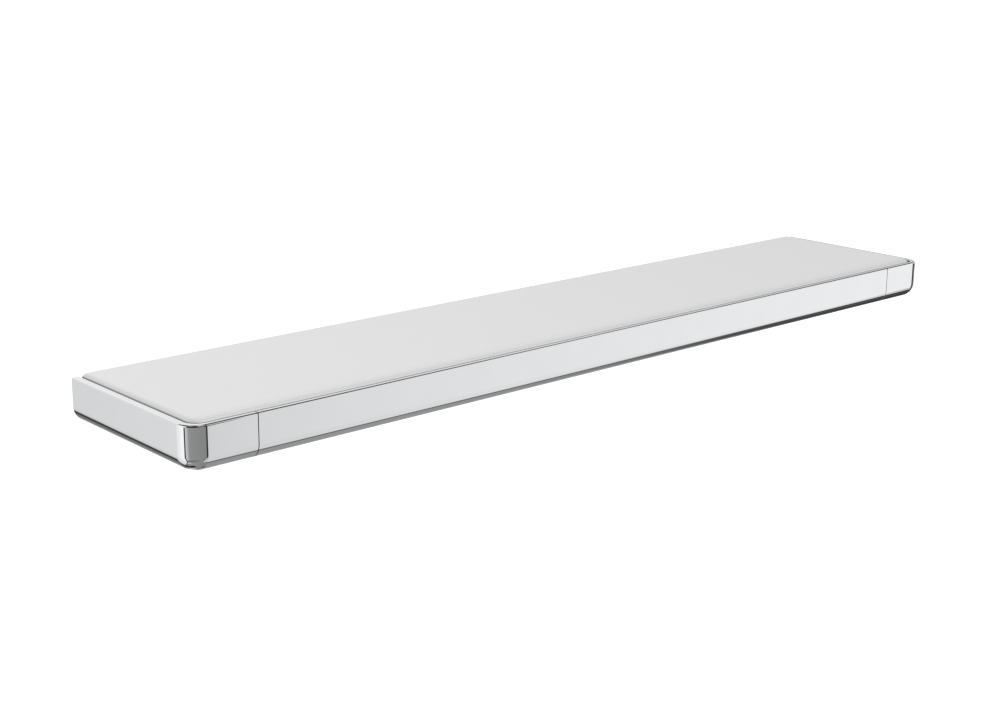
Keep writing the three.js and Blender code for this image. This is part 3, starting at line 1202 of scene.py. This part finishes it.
@dataclass
class Studio:
    """Pale floor, soft light, cards for the chrome to mirror, and the camera."""

    floor_level: float = -1.2
    floor_radius: float = 14.0
    floor_grey: float = 0.9
    floor_glow: float = 0.25
    ambient: float = 1.08
    key_size: tuple[float, float] = (1.6, 1.2)
    key_energy: float = 4.5
    key_place: Vector = field(default_factory=lambda: Vector((-1.2, 0.2, 1.4)))
    table: float = 0.235
    ceiling: float = 0.08
    horizon: float = 10.0
    cards: Sequence[Card | Sheet] = (
        # grey side behind the camera
        Card(-180, -60, -90, -8, 0.32, 0.235, bow=0.5),
        Card(-180, -163, -60, -8, 0.66, 0.50, soft=10),
        Card(-176, -110, -50, -38, 0.15, 0.19, soft=6),
        Card(-108, -74, -8, 6, 0.30, 0.36, soft_height=1),
        # light in front
        Card(-59, -25.5, -53, 40, 0.64, 0.93, 0.25, 0.3, 5, bow=0.6),
        Card(-26, -17, -53, -28, 0.90, 0.90, 0.25, 0.7, 3),
        Sheet(0.62, -1.38, 0.75, 0.15, -60, 0.55, 0.08),
        # right hand side
        Card(24, 62, -60, 6, 0.44, 0.62, 0.6, 6),
        Sheet(0.85, 0.15, 0.35, 0.5, 0, 0.30, 0.12),
        # behind
        Card(62, 86, -60, 6, 0.46, 0.22, 0.2, 3, 6),
        Card(84, 111, -60, 6, 0.20, 0.11, 0.2, 3, 6),
        Sheet(0.45, 1.05, 0.65, 0.09, 60, 0.85, 0.09),
        # light behind, on the left
        Card(108.5, 177, -58, 42, 0.45, 1.0, 0.2, 2, 2.5, bow=0.4),
        # light near the horizon, behind and past both ends
        Card(68, 112, -20, 6, 0.50, 0.50, soft=3, soft_height=2),
        Card(170, 198, -12, 42, 0.95, 0.50, soft=6, soft_height=2),
        Card(-26, 28, -10, 24, 0.50, 0.60, soft=2),
        # light behind, above the horizon
        Card(24, 70, 4, 42, 0.52, 0.92, soft=6),
        Card(66, 112, 3, 42, 0.92, 0.8, soft=4),
        # light above the camera, on the right
        Card(-106, -62, 38, 66, 0.34, 0.50, soft=4),
        # light overhead
        Card(-180, 180, 68, 94, 0.7, 0.7),
        # borders and dark sheets
        Card(176, 183.5, -50, -16.3, 0.02, 0.02, soft_height=1),
        Card(-65.5, -58.9, -32, 24, 0.02, 0.02, soft=0.3),
        Card(-170, -106, -8, 90, 0.0, 0.0, soft_height=3),
        Card(-107, -75, 4, 28, 0.0, 0.0, soft_height=2),
        Card(-76, -62, -8, 28, 0.0, 0.0, soft_height=3),
        Card(-25.5, 28, -26, -10, 0.02, 0.02, soft=0.7, soft_height=0.8),
        Card(-6, 6, -26, -8, 0.32, 0.32, soft=1.5, soft_height=1),
        Sheet(3.16, -6.2, 6, 0.07, -60, 0.04, 0.05),
        Sheet(1.65, -0.1, 0.55, 0.33, 0, 0.05, 0.14),
        Sheet(2.2, 0.8, 1.4, 0.56, 52, 0.05, 0.2),
        Sheet(0.9, -0.27, 0.50, 0.08, 23, 0.09, 0.05),
        Sheet(-0.33, 0.75, 0.10, 0.35, 0, 0.14, 0.08),
        Sheet(-0.31, 1.1, 1.1, 0.11, 99, 0.02, 0.06),
        Sheet(-0.17, 0.18, 0.22, 0.10, 90, 0.005, 0.06),
        Sheet(-0.72, 0.16, 0.52, 0.05, 38, 0.06, 0.05),
        Sheet(0.4, 0.15, 0.12, 0.06, 90, 0.04, 0.06),
    )
    lens: float = 59.471
    sensor: float = 36.0
    shift: tuple[float, float] = (0.01154, -0.01298)
    camera_place: Vector = field(default_factory=lambda: Vector((-0.68959, -0.76918, 0.25418)))
    yaw: float = 41.577
    pitch: float = 14.78
    roll: float = 0.388

    def build(self) -> None:
        """Builds the whole studio."""
        self.add_camera()
        self.add_floor()
        self.add_surroundings()
        self.add_key_light()

    def add_camera(self) -> None:
        """Places the camera at the front left, looking slightly down."""
        data = bpy.data.cameras.new("camera")
        data.sensor_width = self.sensor
        data.lens = self.lens
        data.shift_x, data.shift_y = self.shift
        camera = bpy.data.objects.new("camera", data)
        bpy.context.scene.collection.objects.link(camera)
        turns = ((-self.yaw, "Z"), (90 - self.pitch, "X"), (self.roll, "Z"))
        camera.matrix_world = Matrix.Translation(self.camera_place)
        for angle, axis in turns:
            camera.matrix_world @= Matrix.Rotation(math.radians(angle), 4, axis)
        bpy.context.scene.camera = camera

    def add_floor(self) -> None:
        """Adds the pale floor, well below the shelf."""
        bm = bmesh.new()
        bmesh.ops.create_circle(bm, cap_ends=True, radius=self.floor_radius, segments=96)
        bmesh.ops.translate(bm, vec=(0, 0, self.floor_level), verts=bm.verts)
        mesh = bpy.data.meshes.new("floor_mesh")
        bm.to_mesh(mesh)
        bm.free()
        material = bpy.data.materials.new("pale_floor")
        material.use_nodes = True
        shader = material.node_tree.nodes["Principled BSDF"]
        for name, value in (
            ("Base Color", (self.floor_grey,) * 3 + (1,)), ("Roughness", 0.9),
            ("Emission Color", (1, 1, 1, 1)), ("Emission Strength", self.floor_glow),
        ):
            shader.inputs[name].default_value = value
        mesh.materials.append(material)
        floor = bpy.data.objects.new("floor", mesh)
        bpy.context.scene.collection.objects.link(floor)
        floor.visible_glossy = False

    def add_surroundings(self) -> None:
        """Builds the world: even soft light, and the cards that shiny surfaces mirror."""
        world = bpy.data.worlds.new("studio")
        bpy.context.scene.world = world
        world.use_nodes = True
        world.node_tree.nodes.clear()
        graph = Graph(world.node_tree)
        sky = Sky.read(graph)
        level = graph.ramp(sky.elevation, -self.horizon, 0.0, self.table, self.ceiling, soft=True)
        for card in self.cards:
            level = card.lay(graph, sky, level)
        mirrored = graph.node("Background", Color=(1, 1, 1, 1), Strength=level)
        even = graph.node("Background", Color=(1, 1, 1, 1), Strength=self.ambient)
        choose = graph.node("MixShader", Fac=graph.node("LightPath").outputs["Is Glossy Ray"])
        graph.feed(choose.inputs[1], even.outputs[0])
        graph.feed(choose.inputs[2], mirrored.outputs[0])
        graph.node("OutputWorld", Surface=choose.outputs[0])

    def add_key_light(self) -> None:
        """Adds one large soft light at the upper left."""
        data = bpy.data.lights.new("key_light", "AREA")
        data.shape = "RECTANGLE"
        data.size, data.size_y = self.key_size
        data.energy = self.key_energy
        light = bpy.data.objects.new("key_light", data)
        bpy.context.scene.collection.objects.link(light)
        light.location = self.key_place
        light.rotation_euler = (-light.location).to_track_quat("-Z", "Y").to_euler()
        light.visible_glossy = False


def main() -> None:
    """Builds the studio and every sub-assembly."""
    logging.basicConfig(level=logging.INFO, format="%(name)s: %(message)s")
    bpy.context.scene.view_settings.view_transform = "Standard"
    Studio().build()
    steel = Dressing(STEEL.build(), Slot.SCREW)
    zinc = Dressing(ZINC.build(), Slot.BRACKET)
    Tray().build(Dressing(CHROME.build(), Slot.CHROME))
    GlassPlate().build(Dressing(SATIN_GLASS.build(), Slot.GLASS, Body.GLASS))
    Pads().build(Dressing(SILICONE.build(), Slot.PAD))
    Splices().build(Dressing(ALUMINIUM.build(), Slot.SPLICE), steel)
    for side in SIDES:
        Bracket(side).build(zinc, steel)


if __name__ == "__main__":
    main()
